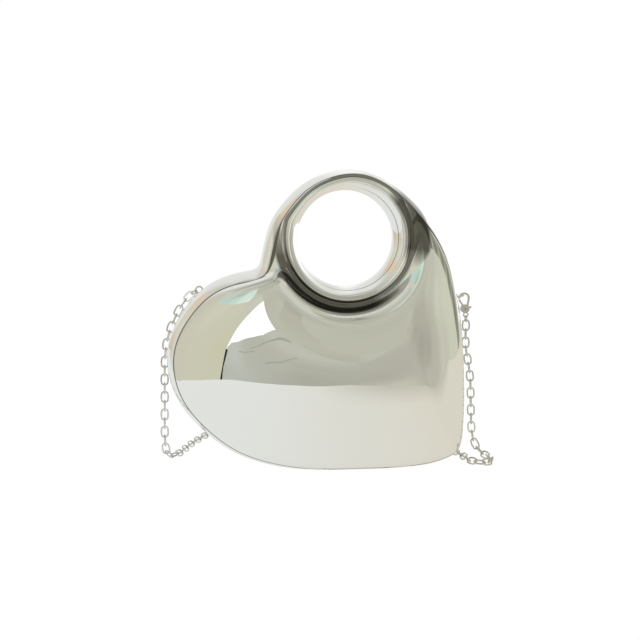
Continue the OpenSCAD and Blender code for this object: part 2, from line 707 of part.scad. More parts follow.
// How much of the rim's inset the side wall has at the bracket's front
bracket_inset_share = lookup((widest_y - magnet_back_y) / (widest_y - back_edge_y),
    [for (i = [len(side_share) - 1 : -1 : 0]) [side_share[i], side_share[i] * side_share[i]]]);
module back_magnets() {
    color("dimgray") for (k = [0, 1])
        at_magnet(k) translate([0, 0, back_edge_y + magnet_setback])
            cylinder(h = magnet_t, r = magnet_r);
}
module front_magnets() {
    color("dimgray") for (k = [0, 1])
        at_magnet(k) translate([0, 0, front_edge_y - magnet_setback - magnet_t])
            cylinder(h = magnet_t, r = magnet_r);
}
module back_magnet_brackets() {
    color("lightgray") for (k = [0, 1])
        intersection() {
            at_magnet(k) translate([0, 0, magnet_back_y]) {
                cylinder(h = bracket_t, r = magnet_r);
                translate([0, -magnet_r, 0]) cube([magnet_in + rim_inset, 2 * magnet_r, bracket_t]);
            }
            rotate([90, 0, 0]) translate([0, 0, -body_d / 2]) linear_extrude(body_d)
                offset(delta = -shell_wall - run_gap)
                    polygon([for (u = shell_us) drawn_in(u, bracket_inset_share)]);
        }
}

module left_eyelet() {
    color("silver") at_eyelet(left_seat, left_n) eyelet(0);
}
module right_eyelet() {
    color("silver") at_eyelet(right_seat, right_n) eyelet(right_turn);
}
module eyelet_washers() {
    color("silver") at_both_eyelets()
        translate([0, 0, -shell_wall - fit_gap - washer_t]) difference() {
            cylinder(h = washer_t, r = washer_r);
            translate([0, 0, -overrun]) cylinder(h = washer_t + 2 * overrun, r = post_r + fit_gap / 2);
        }
}
module eyelet_nuts() {
    color("silver") at_both_eyelets()
        translate([0, 0, -shell_wall - fit_gap - washer_t - nut_t]) difference() {
            cylinder(h = nut_t, r = nut_r, $fn = 6);
            translate([0, 0, -overrun]) cylinder(h = nut_t + 2 * overrun, r = post_r + fit_gap / 2);
        }
}
module left_jump_ring() {
    n = unit(cross(left_down, left_axis));
    color("silver") framed(left_jump, left_down, cross(n, left_down), n) torus(jump_r, jump_wire);
}
module right_jump_ring() {
    color("silver") framed(right_jump, claw_down, [0, 1, 0], cross(claw_down, [0, 1, 0]))
        torus(jump_r, jump_wire);
}
module claw_body() {
    arm_end = [pivot_x + claw_base_r - claw_bar, pivot_z + claw_bar];
    color("silver") at_claw() difference() {
        union() {
            rotate([90, 0, 0]) rotate_extrude(angle = 180)
                translate([hook_r - claw_bar / 2, -claw_t / 2]) square([claw_bar, claw_t]);
            plate(claw_t) {
                translate([-hook_r - claw_bar / 2, -tip_l]) square([claw_bar, tip_l]);
                bar([hook_r, 0], arm_end, claw_bar);
            }
            plate(claw_base_t) translate([pivot_x, pivot_z]) circle(claw_base_r);
            plate(claw_base_t)
                bar([pivot_x, pivot_z - claw_base_r / 2], [eye_x, eye_z + eye_r], 2 * eye_r);
            translate([eye_x, 0, eye_z]) rotate([90, 0, 0]) torus(eye_r, eye_wire);
        }
        translate([-claw_w, -slot_t / 2, pivot_z - slot_down])
            cube([2 * claw_w, slot_t, slot_down + slot_up]);
        translate([pivot_x, claw_base_t / 2 + overrun, pivot_z]) rotate([90, 0, 0])
            cylinder(h = claw_base_t + 2 * overrun, r = rivet_r + fit_gap / 2);
    }
}
module claw_trigger() {
    pivot = [pivot_x, pivot_z];
    thumb = pivot + [thumb_l - thumb_r, thumb_rise];
    color("gainsboro") at_claw() difference() {
        union() {
            plate(trigger_t) translate(pivot) circle(hub_r);
            plate(trigger_t) bar(pivot, gate_tip, gate_w);
            plate(trigger_t) translate(gate_tip) circle(gate_w / 2);
            plate(trigger_t) bar(pivot, thumb, gate_w);
            plate(trigger_t) translate(thumb) circle(thumb_r);
        }
        translate([pivot_x, trigger_t / 2 + overrun, pivot_z]) rotate([90, 0, 0])
            cylinder(h = trigger_t + 2 * overrun, r = rivet_r + fit_gap / 2);
    }
}
module claw_spring() {
    color("silver") at_claw() translate([pivot_x, 0, pivot_z]) rotate([90, 0, 0])
        rotate(-90 - spring_sweep / 2) rotate_extrude(angle = spring_sweep)
            translate([(hub_r + slot_down) / 2, 0]) circle(spring_wire / 2);
}
module claw_rivet() {
    shank = claw_base_t + 2 * fit_gap;
    color("silver") at_claw() translate([pivot_x, 0, pivot_z]) rotate([90, 0, 0]) {
        translate([0, 0, -shank / 2]) cylinder(h = shank, r = rivet_r);
        for (side = [-1, 1])
            translate([0, 0, side * (shank + rivet_head_t) / 2])
                cylinder(h = rivet_head_t, r = rivet_head_r, center = true);
    }
}
module chain_left_hang() {
    chain(0, left_floor_from);
}
module chain_left_floor() {
    chain(left_floor_from, coil_from);
}
module chain_coil() {
    chain(coil_from, right_floor_from);
}
module chain_right_floor() {
    chain(right_floor_from, right_hang_from);
}
module chain_right_hang() {
    chain(right_hang_from, links);
}

back_shell();
front_shell();
back_lining();
front_lining();
hinge_back_leaf();
hinge_front_leaf();
hinge_pin();
hinge_back_screws();
hinge_front_screws();
back_magnets();
front_magnets();
back_magnet_brackets();
left_eyelet();
right_eyelet();
eyelet_washers();
eyelet_nuts();
left_jump_ring();
right_jump_ring();
claw_body();
claw_trigger();
claw_spring();
claw_rivet();
chain_left_hang();
chain_left_floor();
chain_coil();
chain_right_floor();
chain_right_hang();
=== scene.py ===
# Heart clutch with a mirror finish, a round hand hole and a chain strap
import bpy
import math
import numpy as np
from mathutils import Matrix, Vector


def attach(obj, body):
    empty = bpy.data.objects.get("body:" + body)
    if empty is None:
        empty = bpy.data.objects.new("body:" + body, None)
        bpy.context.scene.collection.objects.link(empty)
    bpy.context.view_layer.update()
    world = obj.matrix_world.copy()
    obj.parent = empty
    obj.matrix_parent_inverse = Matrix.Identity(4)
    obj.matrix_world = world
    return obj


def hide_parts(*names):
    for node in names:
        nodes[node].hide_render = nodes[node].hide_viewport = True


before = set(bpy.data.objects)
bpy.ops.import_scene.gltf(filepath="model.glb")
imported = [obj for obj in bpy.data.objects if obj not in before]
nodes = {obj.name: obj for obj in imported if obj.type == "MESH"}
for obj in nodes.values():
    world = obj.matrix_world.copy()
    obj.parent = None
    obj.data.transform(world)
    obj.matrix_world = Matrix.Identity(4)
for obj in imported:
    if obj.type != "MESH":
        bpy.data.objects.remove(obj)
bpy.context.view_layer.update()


# ---- camera
camera = {"place": (-0.053, -0.575, 0.172), "lookAt": (0.0007, 0.0, 0.101),
          "lens": 48.41, "sensor": 36.0, "near": 0.01}


def placeCamera(s):
    bpy.ops.object.camera_add(location=s["place"])
    cam = bpy.context.object
    aim = Vector(s["lookAt"]) - Vector(s["place"])
    cam.rotation_euler = aim.to_track_quat("-Z", "Y").to_euler()
    cam.data.lens = s["lens"]
    cam.data.sensor_width = s["sensor"]
    cam.data.clip_start = s["near"]
    bpy.context.scene.camera = cam


placeCamera(camera)
print("camera placed")


# ---- small helpers
def clearSelection():
    if bpy.context.object and bpy.context.object.mode != "OBJECT":
        bpy.ops.object.mode_set(mode="OBJECT")
    bpy.ops.object.select_all(action="DESELECT")


def pick(*objects):
    clearSelection()
    for o in objects:
        o.select_set(True)
    bpy.context.view_layer.objects.active = objects[0]


def unit(v):
    v = np.asarray(v, float)
    return v / np.linalg.norm(v, axis=-1, keepdims=True)


def applyAll(piece):
    pick(piece)
    for m in list(piece.modifiers):
        bpy.ops.object.modifier_apply(modifier=m.name)


def finishPiece(piece, name, body, material, smooth=None):
    # a finished piece sits at the origin with its place in its mesh
    pick(piece)
    bpy.ops.object.transform_apply(location=True, rotation=True, scale=True)
    piece.name = piece.data.name = name
    piece.data.materials.clear()
    piece.data.materials.append(material)
    if smooth is not None:
        bpy.ops.object.shade_smooth_by_angle(angle=math.radians(smooth))
    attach(piece, body)
    clearSelection()
    return piece


# ---- shader groups
def makeGroup(name, inputs, outputs):
    group = bpy.data.node_groups.new(name, "ShaderNodeTree")
    for socketName, kind, value in inputs:
        socket = group.interface.new_socket(name=socketName, in_out="INPUT", socket_type=kind)
        socket.default_value = value
    for socketName, kind in outputs:
        group.interface.new_socket(name=socketName, in_out="OUTPUT", socket_type=kind)
    entry = group.nodes.new("NodeGroupInput")
    out = group.nodes.new("NodeGroupOutput")
    return group, entry, out


handled = {"smearDetail": 3, "smearBend": 0.6, "dustDetail": 1, "cleanUpTo": 0.2, "smearedFrom": 0.45,
           "waveScale": 60}


def makeHandling(s):
    # faint smears and dust that a handled plated surface has
    group, entry, out = makeGroup(
        "handledPlating",
        [("Smear scale", "NodeSocketFloat", 18.0), ("Dust scale", "NodeSocketFloat", 900.0),
         ("Clean roughness", "NodeSocketFloat", 0.02), ("Smeared roughness", "NodeSocketFloat", 0.07),
         ("Wave height", "NodeSocketFloat", 0.0002)],
        [("Roughness", "NodeSocketFloat"), ("Normal", "NodeSocketVector")])
    n, link = group.nodes, group.links
    coords = n.new("ShaderNodeTexCoord")
    smear = n.new("ShaderNodeTexNoise")
    smear.inputs["Detail"].default_value = s["smearDetail"]
    smear.inputs["Distortion"].default_value = s["smearBend"]
    dust = n.new("ShaderNodeTexNoise")
    dust.inputs["Detail"].default_value = s["dustDetail"]
    blend = n.new("ShaderNodeMath")
    blend.operation = "MULTIPLY"
    spread = n.new("ShaderNodeMapRange")
    spread.inputs["From Min"].default_value = s["cleanUpTo"]
    spread.inputs["From Max"].default_value = s["smearedFrom"]
    wave = n.new("ShaderNodeTexNoise")
    wave.inputs["Scale"].default_value = s["waveScale"]
    wave.inputs["Detail"].default_value = 0
    bump = n.new("ShaderNodeBump")
    bump.inputs["Strength"].default_value = 1
    for texture in (smear, dust, wave):
        link.new(coords.outputs["Object"], texture.inputs["Vector"])
    link.new(entry.outputs["Smear scale"], smear.inputs["Scale"])
    link.new(entry.outputs["Dust scale"], dust.inputs["Scale"])
    link.new(smear.outputs["Fac"], blend.inputs[0])
    link.new(dust.outputs["Fac"], blend.inputs[1])
    link.new(blend.outputs[0], spread.inputs["Value"])
    link.new(entry.outputs["Clean roughness"], spread.inputs["To Min"])
    link.new(entry.outputs["Smeared roughness"], spread.inputs["To Max"])
    link.new(spread.outputs["Result"], out.inputs["Roughness"])
    link.new(wave.outputs["Fac"], bump.inputs["Height"])
    link.new(entry.outputs["Wave height"], bump.inputs["Distance"])
    link.new(bump.outputs["Normal"], out.inputs["Normal"])
    return group


handling = makeHandling(handled)


# below and right: a direction from the hole, where its shade starts and how fast it comes up
recessForm = {"below": (-0.45, -0.89, 0.1, 1.8), "right": (0.97, 0.24, 0.8, 8.0), "rightReach": 0.006,
              "rightDrop": 0.0045, "valleySoft": 0.6, "floorSoft": 0.3, "partingSoft": 0.08,
              "floorShare": 0.8, "floorInset": 0.003, "brink": 0.001}


def makePaintedRecessShade(s):
    # painted shade: the plating's colour is darkened at the parting line and in the ring's groove, most
    # below it and to its right, where shade falls
    group, entry, out = makeGroup(
        "paintedRecessShade",
        [("Hole X", "NodeSocketFloat", 0.0), ("Hole Z", "NodeSocketFloat", 0.0),
         ("Parting Y", "NodeSocketFloat", 0.0), ("Parting half", "NodeSocketFloat", 0.0008),
         ("Floor Y", "NodeSocketFloat", -0.0175), ("Floor half", "NodeSocketFloat", 0.0007),
         ("Groove in", "NodeSocketFloat", 0.04), ("Groove out", "NodeSocketFloat", 0.05),
         ("Groove Y", "NodeSocketFloat", -0.02), ("Soft", "NodeSocketFloat", 0.003)],
        [("Amount", "NodeSocketFloat")])
    n, link = group.nodes, group.links

    def maths(kind, a, b=None, clamp=False):
        node = n.new("ShaderNodeMath")
        node.operation = kind
        node.use_clamp = clamp
        for socket, value in zip(node.inputs, (a, b)):
            if isinstance(value, (int, float)):
                socket.default_value = value
            elif value is not None:
                link.new(value, socket)
        return node.outputs[0]

    def rising(value, start, length):
        # from 0 at start to 1 a length further
        return maths("DIVIDE", maths("SUBTRACT", value, start), length, True)

    def product(first, *others):
        for other in others:
            first = maths("MULTIPLY", first, other)
        return first

    coords = n.new("ShaderNodeTexCoord")
    part = n.new("ShaderNodeSeparateXYZ")
    link.new(coords.outputs["Object"], part.inputs[0])
    given = entry.outputs
    y, soft = part.outputs["Y"], given["Soft"]
    depth = maths("MULTIPLY", maths("ABSOLUTE", y), -1)  # the back's groove lies like the front's
    x = maths("SUBTRACT", part.outputs["X"], given["Hole X"])
    z = maths("SUBTRACT", part.outputs["Z"], given["Hole Z"])
    radius = maths("SQRT", maths("ADD", product(x, x), product(z, z)))

    def lobe(dx, dz, start, gain):
        along = maths("DIVIDE", maths("ADD", product(x, dx), product(z, dz)), radius)
        return maths("MULTIPLY", maths("SUBTRACT", along, start), gain, True)

    def falling(value, start, length):
        return maths("SUBTRACT", 1, rising(value, start, length))

    below, right = lobe(*s["below"]), lobe(*s["right"])
    outer = maths("ADD", given["Groove out"], product(right, s["rightReach"]))
    upTo = maths("SUBTRACT", given["Groove Y"], product(right, s["rightDrop"]))
    valley = product(rising(radius, given["Groove in"], soft),
                     falling(radius, outer, product(soft, s["valleySoft"])),
                     rising(depth, upTo, soft), maths("MAXIMUM", below, right))

    def line(along, place, half, fade):
        away = maths("ABSOLUTE", maths("SUBTRACT", along, place))
        return falling(away, half, product(soft, fade))

    outside = rising(radius, given["Groove in"], s["brink"])
    floorEnd = maths("SUBTRACT", given["Groove out"], s["floorInset"])
    floorLine = product(line(depth, given["Floor Y"], given["Floor half"], s["floorSoft"]), s["floorShare"],
                        outside, falling(radius, floorEnd, s["brink"]))
    parting = product(line(y, given["Parting Y"], given["Parting half"], s["partingSoft"]), outside)
    edges = maths("MAXIMUM", floorLine, parting)
    # the amount of painted shade: groove valley, groove floor line and parting line
    link.new(maths("MAXIMUM", valley, edges), out.inputs["Amount"])
    return group


recess = makePaintedRecessShade(recessForm)


def newMaterial(name):
    m = bpy.data.materials.new(name)
    m.use_nodes = True
    return m, m.node_tree.nodes, m.node_tree.links, m.node_tree.nodes["Principled BSDF"]


def platedMetal(name, s):
    m, n, link, shader = newMaterial(name)
    shader.inputs["Base Color"].default_value = (*s["colour"], 1)
    shader.inputs["Metallic"].default_value = 1
    worn = n.new("ShaderNodeGroup")
    worn.node_tree = handling
    for socket, key in (("Smear scale", "smearScale"), ("Dust scale", "dustScale"), ("Wave height", "wave"),
                        ("Clean roughness", "clean"), ("Smeared roughness", "smeared")):
        worn.inputs[socket].default_value = s[key]
    link.new(worn.outputs["Roughness"], shader.inputs["Roughness"])
    link.new(worn.outputs["Normal"], shader.inputs["Normal"])
    return m


def platingWithPaintedShade(name, s):
    m = platedMetal(name, s)
    n, link, shader = m.node_tree.nodes, m.node_tree.links, m.node_tree.nodes["Principled BSDF"]
    shaded = n.new("ShaderNodeGroup")
    shaded.node_tree = recess
    for key, value in s["recess"].items():
        shaded.inputs[key].default_value = value
    # the dark colour is painted shade, mixed in by the painted-shade amount
    tint = n.new("ShaderNodeMix")
    tint.data_type = "RGBA"
    tint.inputs["A"].default_value = (*s["colour"], 1)
    tint.inputs["B"].default_value = (*s["dark"], 1)
    link.new(shaded.outputs["Amount"], tint.inputs["Factor"])
    link.new(tint.outputs["Result"], shader.inputs["Base Color"])
    return m


polishedChain = platedMetal("polishedChain", {
    "colour": (0.72, 0.72, 0.71), "smearScale": 150, "dustScale": 2500,
    "clean": 0.12, "smeared": 0.24, "wave": 0.00002})
polishedFitting = platedMetal("polishedFitting", {
    "colour": (0.78, 0.78, 0.77), "smearScale": 120, "dustScale": 2500,
    "clean": 0.08, "smeared": 0.2, "wave": 0.00002})
hingeSteel = platedMetal("hingeSteel", {
    "colour": (0.58, 0.58, 0.57), "smearScale": 200, "dustScale": 3000,
    "clean": 0.22, "smeared": 0.4, "wave": 0.00003})
magnetPlating = platedMetal("magnetPlating", {
    "colour": (0.5, 0.5, 0.51), "smearScale": 160, "dustScale": 3000,
    "clean": 0.2, "smeared": 0.32, "wave": 0.00001})


def liningCloth(s):
    # a fine satin weave over a soft nap
    m, n, link, shader = newMaterial("liningSatin")
    coords = n.new("ShaderNodeTexCoord")
    weft = n.new("ShaderNodeTexWave")
    weft.bands_direction = "X"
    warp = n.new("ShaderNodeTexWave")
    warp.bands_direction = "Z"
    for threads in (weft, warp):
        threads.inputs["Scale"].default_value = s["threads"]
        threads.inputs["Distortion"].default_value = s["threadBend"]
        threads.inputs["Detail"].default_value = 1
        link.new(coords.outputs["Object"], threads.inputs["Vector"])
    weave = n.new("ShaderNodeMath")
    weave.operation = "MAXIMUM"
    link.new(weft.outputs["Fac"], weave.inputs[0])
    link.new(warp.outputs["Fac"], weave.inputs[1])
    bump = n.new("ShaderNodeBump")
    bump.inputs["Strength"].default_value = s["weaveShare"]
    bump.inputs["Distance"].default_value = s["weaveDepth"]
    link.new(weave.outputs[0], bump.inputs["Height"])
    link.new(bump.outputs["Normal"], shader.inputs["Normal"])
    shade = n.new("ShaderNodeTexNoise")
    shade.inputs["Scale"].default_value = s["shadeScale"]
    link.new(coords.outputs["Object"], shade.inputs["Vector"])
    tint = n.new("ShaderNodeMix")
    tint.data_type = "RGBA"
    tint.inputs["A"].default_value = (*s["shadow"], 1)
    tint.inputs["B"].default_value = (*s["light"], 1)
    link.new(shade.outputs["Fac"], tint.inputs["Factor"])
    link.new(tint.outputs["Result"], shader.inputs["Base Color"])
    shader.inputs["Roughness"].default_value = s["roughness"]
    shader.inputs["Sheen Weight"].default_value = s["sheen"]
    return m


liningSatin = liningCloth({
    "threads": 320, "threadBend": 0.6, "weaveShare": 0.5, "weaveDepth": 0.0001, "shadeScale": 25,
    "shadow": (0.44, 0.41, 0.35), "light": (0.55, 0.52, 0.45), "roughness": 0.55, "sheen": 0.3})
print("materials made")


# ---- the claw's spring, bent so that the gate's thumb piece clears its end
spring = {"ring": 0.00165, "wire": 0.00012, "from": -158, "to": -34, "segments": 96, "sides": 10,
          "smooth": 60, "place": (0.104382, 0.0146391, 0.106037)}


def makeSpring(s):
    clearSelection()
    bpy.ops.mesh.primitive_torus_add(major_radius=s["ring"], minor_radius=s["wire"],
                                     major_segments=s["segments"], minor_segments=s["sides"],
                                     rotation=(math.radians(90), 0, 0))
    piece = bpy.context.object
    bpy.ops.object.transform_apply(location=False, rotation=True, scale=True)
    bpy.ops.object.mode_set(mode="EDIT")
    for angle, side in ((s["from"], 1), (s["to"], -1)):
        bpy.ops.mesh.select_all(action="SELECT")
        a = math.radians(angle)
        bpy.ops.mesh.bisect(plane_co=(0, 0, 0), plane_no=(-math.sin(a) * side, 0, math.cos(a) * side),
                            clear_inner=True, use_fill=True)
    bpy.ops.mesh.select_all(action="SELECT")
    bpy.ops.mesh.normals_make_consistent(inside=False)
    bpy.ops.object.mode_set(mode="OBJECT")
    piece.location = s["place"]
    finishPiece(piece, "claw_spring_wire", "case", hingeSteel, s["smooth"])
    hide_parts("claw_spring")
    return piece


clawSpring = makeSpring(spring)


# ---- strap: the route repeats the part's own points, in metres
strap = {
    "wire": 0.0012, "width": 0.006, "pitch": 0.0062, "slack": 0.0003, "steps": 6, "bends": 12, "sides": 6,
    "smooth": 60,
    "start": (-0.0856936, 0.0217568, 0.1177565), "end": (0.105341, 0.0146391, 0.0972854),
    "leftHang": [(-0.09, 0.022, 0.114), (-0.096, 0.021, 0.1047), (-0.1012, 0.02, 0.093),
                 (-0.104, 0.0195, 0.0825), (-0.1053, 0.019, 0.0685), (-0.1058, 0.019, 0.044),
                 (-0.1063, 0.019, 0.016)],
    "leftFloor": [(-0.105, 0.0205, 0.005), (-0.1015, 0.025, 0.0027), (-0.097, 0.032, 0.0026),
                  (-0.09, 0.056, 0.0026), (-0.081, 0.0785, 0.0026), (-0.068, 0.103, 0.0026),
                  (-0.044, 0.125, 0.0026), (-0.018, 0.137, 0.0026)],
    "rightFloor": [(0.04, 0.0465, 0.0026), (0.062, 0.0455, 0.0026), (0.082, 0.039, 0.0026),
                   (0.093, 0.029, 0.0026), (0.099, 0.018, 0.0026), (0.1026, 0.006, 0.0026),
                   (0.104, -0.005, 0.0026), (0.11, -0.0126, 0.0026), (0.1175, -0.0105, 0.0026),
                   (0.1203, -0.0025, 0.0026), (0.1184, 0.0055, 0.0029), (0.1154, 0.011, 0.005)],
    "rightHang": [(0.1126, 0.0138, 0.0105), (0.1112, 0.0153, 0.019), (0.1105, 0.0165, 0.04),
                  (0.11, 0.017, 0.055), (0.1078, 0.0165, 0.069), (0.1058, 0.016, 0.079)],
    "coilCentre": (0.009, 0.092, 0.0026), "coilRadius": 0.048, "coilStep": 0.016,
    "coilTurns": 1.375, "coilStart": 100, "coilParts": 12,
    "middle": 0.000001, "leftSide": (-0.81, 0.58, 0.0), "rightSide": (-0.8, -0.6, 0.0),
}


def coilPoints(s):
    # two spirals that meet in a small S at the middle
    parts, turns, radius, step = s["coilParts"], s["coilTurns"], s["coilRadius"], s["coilStep"]
    count = round(turns * parts)
    core = radius - step * turns
    coreAngle = s["coilStart"] - 360 * turns
    centre = np.array(s["coilCentre"])

    def ray(angle):
        a = math.radians(angle)
        return np.array([math.cos(a), math.sin(a), 0.0])

    def onCoil(r, angle):
        return centre + r * ray(angle)

    inward = [onCoil(radius - step * k / parts, s["coilStart"] - 360 * k / parts) for k in range(count)]
    first = [onCoil(core / 2, coreAngle) + core / 2 * ray(coreAngle - 360 * k / parts)
             for k in range(parts // 2 + 1)]
    second = [onCoil(core / 2, coreAngle + 180) + core / 2 * ray(coreAngle + 360 * k / parts)
              for k in range(1, parts // 2 + 1)]
    outward = [onCoil(core + step * k / parts, coreAngle + 180 + 360 * k / parts)
               for k in range(1, count + 1)]
    return inward + first + second + outward


def smoothLine(points, steps):
    line = []
    for i in range(len(points) - 1):
        b, c = points[i], points[i + 1]
        a = points[i - 1] if i > 0 else 2 * b - c
        d = points[i + 2] if i < len(points) - 2 else 2 * c - b
        for k in range(steps):
            f = k / steps
            line.append(b + f * (c - a) / 2 + f * f * (a - 2.5 * b + 2 * c - d / 2)
                        + f ** 3 * ((d - a) / 2 + 1.5 * (b - c)))
    return np.array(line + [points[-1]])


def linkFrames(s):
    # where each link lies: on the chord between its joints, a quarter turn from its neighbours
    coil = coilPoints(s)
    parts = [[s["start"]], s["leftHang"], s["leftFloor"], coil, s["rightFloor"], s["rightHang"], [s["end"]]]
    route = [np.array(p, float) for part in parts for p in part]
    line = smoothLine(route, s["steps"])
    along = np.concatenate([[0], np.cumsum(np.linalg.norm(np.diff(line, axis=0), axis=1))])
    length = along[-1]
    count = 2 * round((length / s["pitch"] - 1) / 2) + 1
    at = np.linspace(0, length, count + 1)
    joints = np.stack([np.interp(at, along, line[:, k]) for k in range(3)], 1)
    leftEnd = round(along[len(s["leftHang"]) * s["steps"]] / length * count)
    rightStart = round(along[(len(route) - len(s["rightHang"]) - 1) * s["steps"]] / length * count)
    frames = []
    for i in range(count):
        t = unit(joints[i + 1] - joints[i])
        rough = np.cross((0, 0, 1), t)
        if i < leftEnd:
            rough = np.array(s["leftSide"])
        if i >= rightStart:
            rough = np.array(s["rightSide"])
        side = unit(rough - t * np.dot(rough, t))
        face = unit(side + np.cross(t, side) * (1 if i % 2 == 0 else -1))
        frames.append(((joints[i] + joints[i + 1]) / 2, t, np.cross(face, t), face))
    return frames, line, length


def matrixOf(place, x, y, z):
    m = Matrix.Identity(4)
    for k, axis in enumerate((x, y, z)):
        for r in range(3):
            m[r][k] = float(axis[r])
    m.translation = Vector([float(v) for v in place])
    return m


def makeLink(s):
    # a torus parted at its middle and stretched into an oval link
    clearSelection()
    bendRadius = (s["width"] - s["wire"]) / 2
    linkLength = s["pitch"] + s["slack"] + 2 * s["wire"]
    straight = linkLength - s["width"]
    bpy.ops.mesh.primitive_torus_add(major_radius=bendRadius, minor_radius=s["wire"] / 2,
                                     major_segments=s["bends"], minor_segments=s["sides"])
    link = bpy.context.object
    for v in link.data.vertices:  # halves move apart along the link
        v.co.x += math.copysign(straight / 2, v.co.x) if abs(v.co.x) > s["middle"] else 0
    return link


def makeChain(s):
    frames, line, length = linkFrames(s)
    pattern = makeLink(s)
    copies = []
    for place, x, y, z in frames:
        mesh = pattern.data.copy()
        mesh.transform(matrixOf(place, x, y, z))
        copy = bpy.data.objects.new("link", mesh)
        bpy.context.scene.collection.objects.link(copy)
        copies.append(copy)
    bpy.data.objects.remove(pattern)
    pick(*copies)
    bpy.ops.object.join()
    chain = finishPiece(bpy.context.object, "strap_chain", "case", polishedChain, s["smooth"])
    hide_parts("chain_left_hang", "chain_left_floor", "chain_coil",
                "chain_right_floor", "chain_right_hang")
    return chain, line, length, len(frames)


chain, chainLine, chainLength, linkCount = makeChain(strap)
print("strap made:", linkCount, "links,", round(float(chainLength), 3), "m")


# ---- heart shells
heart = {
    "width": 0.206, "height": 0.202, "depth": 0.064, "wall": 0.002, "sideDepth": 0.024,
    "rimInset": 0.0061, "partingGap": 0.0007, "lift": 0.0014,
    "holeX": 0.0176, "holeZ": 0.156, "throat": 0.0317, "groove": 0.0435, "grooveDepth": 0.0175,
    "bead": 0.0215, "roll": 0.006, "crownReach": 0.04, "footGap": 0.0006,
    "frontDrop": 0.62, "backDrop": 0.55, "frontGain": 1.5, "backGain": 1.36,
    "frontPower": 0.75, "backPower": 0.5, "columns": 384, "settling": 24, "slopeStep": 0.02,
    "tunnelRows": (0.005, 0, -0.006), "weld": 0.000002, "smooth": 40,
    "frontOuterRows": (64, 6), "frontInnerRows": (24, 3), "backOuterRows": (14, 56, 5),
    "backInnerRows": (6, 24, 3),
}
outlineShares = [
    (0.099, 1.002, 0.006, 0.70), (0.224, 0.966, 0.097, 0.75), (0.339, 0.870, 0.190, 0.95),
    (0.421, 0.750, 0.262, 1.00), (0.463, 0.616, 0.311, 1.00), (0.487, 0.450, 0.353, 1.00),
    (0.499, 0.255, 0.386, 1.00), (0.497, 0.112, 0.408, 1.00), (0.480, 0.038, 0.423, 1.00),
    (0.421, 0.001, 0.437, 1.00), (0.322, -0.021, 0.456, 1.00), (0.162, -0.030, 0.483, 1.00),
    (0.000, -0.027, 0.511, 1.00), (-0.128, -0.010, 0.533, 1.00), (-0.252, 0.029, 0.552, 1.00),
    (-0.353, 0.094, 0.569, 1.00), (-0.435, 0.180, 0.586, 1.00), (-0.482, 0.265, 0.600, 1.00),
    (-0.500, 0.360, 0.614, 1.00), (-0.484, 0.456, 0.628, 1.00), (-0.432, 0.547, 0.642, 1.00),
    (-0.361, 0.617, 0.655, 1.00), (-0.285, 0.652, 0.667, 1.00), (-0.232, 0.664, 0.679, 1.00),
    (-0.200, 0.676, 0.694, 1.00), (-0.187, 0.710, 0.714, 1.00), (-0.172, 0.777, 0.748, 1.00),
    (-0.147, 0.843, 0.793, 0.95), (-0.098, 0.908, 0.848, 0.85), (-0.024, 0.968, 0.918, 0.75)]
collarShares = [(0.83, 0.84), (0.78, 0.92), (0.66, 0.99), (0.50, 0.98), (0.40, 0.89),
                (0.29, 0.72), (0.16, 0.50)]

knots = np.array([(a * heart["width"], b * heart["height"], 90 - 360 * c, d * heart["rimInset"])
                  for a, b, c, d in outlineShares])
knotCount = len(knots)
holeCentre = np.array([heart["holeX"], heart["holeZ"]])


def neighbour(points, step):
    moved = np.roll(points, -step, axis=0).copy()
    if step > 0:
        moved[-step:, 2] -= 360
    else:
        moved[:-step, 2] += 360
    return moved


controls = knots.copy()
for _ in range(heart["settling"]):
    controls = (6 * knots - neighbour(controls, -1) - neighbour(controls, 1)) / 4


def edgeAt(u):
    # the smooth closed outline: x, z, angle at the hand hole, inset of the rim
    u = np.asarray(u, float)
    i = np.floor(u).astype(int)
    f = (u - i)[..., None]
    g = 1 - f

    def control(k):
        turn = np.floor_divide(i + k, knotCount)
        c = controls[np.mod(i + k, knotCount)].copy()
        c[..., 2] -= 360 * turn
        return c

    return (g ** 3 * control(-1) + (4 - 6 * f ** 2 + 3 * f ** 3) * control(0)
            + (4 - 6 * g ** 2 + 3 * g ** 3) * control(1) + f ** 3 * control(2)) / 6


def outwardAt(u):
    t = edgeAt(u + heart["slopeStep"])[..., :2] - edgeAt(u - heart["slopeStep"])[..., :2]
    return unit(np.stack([-t[..., 1], t[..., 0]], -1))


def drawnIn(u, share):
    e = edgeAt(u)
    return e[..., :2] - outwardAt(u) * e[..., 3:] * share


def roundHole(u, radius):
    a = np.radians(edgeAt(u)[..., 2])
    return holeCentre + np.stack([np.cos(a), np.sin(a)], -1) * np.asarray(radius)[..., None]


def footRadius(u, share):
    away = np.linalg.norm(drawnIn(u, share) - holeCentre, axis=-1)
    return np.minimum(heart["groove"], away - heart["footGap"])


def faceHeight(s, length, crown, drop, power):
    reach = length ** 2 / (length ** 2 + heart["crownReach"] ** 2)
    return (crown * reach * np.maximum(2 * s - s * s, 0) ** power * (1 - drop * s * s)
            * (1 - np.exp(-(length * (1 - s) / heart["roll"]) ** 2)))


partingY = -heart["sideDepth"] / 2
widestY = heart["sideDepth"] / 2
frontEdgeY = partingY - heart["partingGap"] / 2
backEdgeY = partingY + heart["partingGap"] / 2
frontCrown = (heart["depth"] / 2 + frontEdgeY) * heart["frontGain"]
backCrown = (heart["depth"] / 2 - widestY) * heart["backGain"]


def atDepth(flat, y):
    y = np.broadcast_to(np.asarray(y, float), flat.shape[:-1])
    return np.stack([flat[..., 0], y, flat[..., 1]], -1)


def frontPoint(u, s):
    a, b = drawnIn(u, 1), roundHole(u, footRadius(u, 1))
    length = np.linalg.norm(b - a, axis=-1)
    y = frontEdgeY - (heart["grooveDepth"] + frontEdgeY) * s * s - faceHeight(
        s, length, frontCrown, heart["frontDrop"], heart["frontPower"])
    return atDepth(a + (b - a) * s, y)


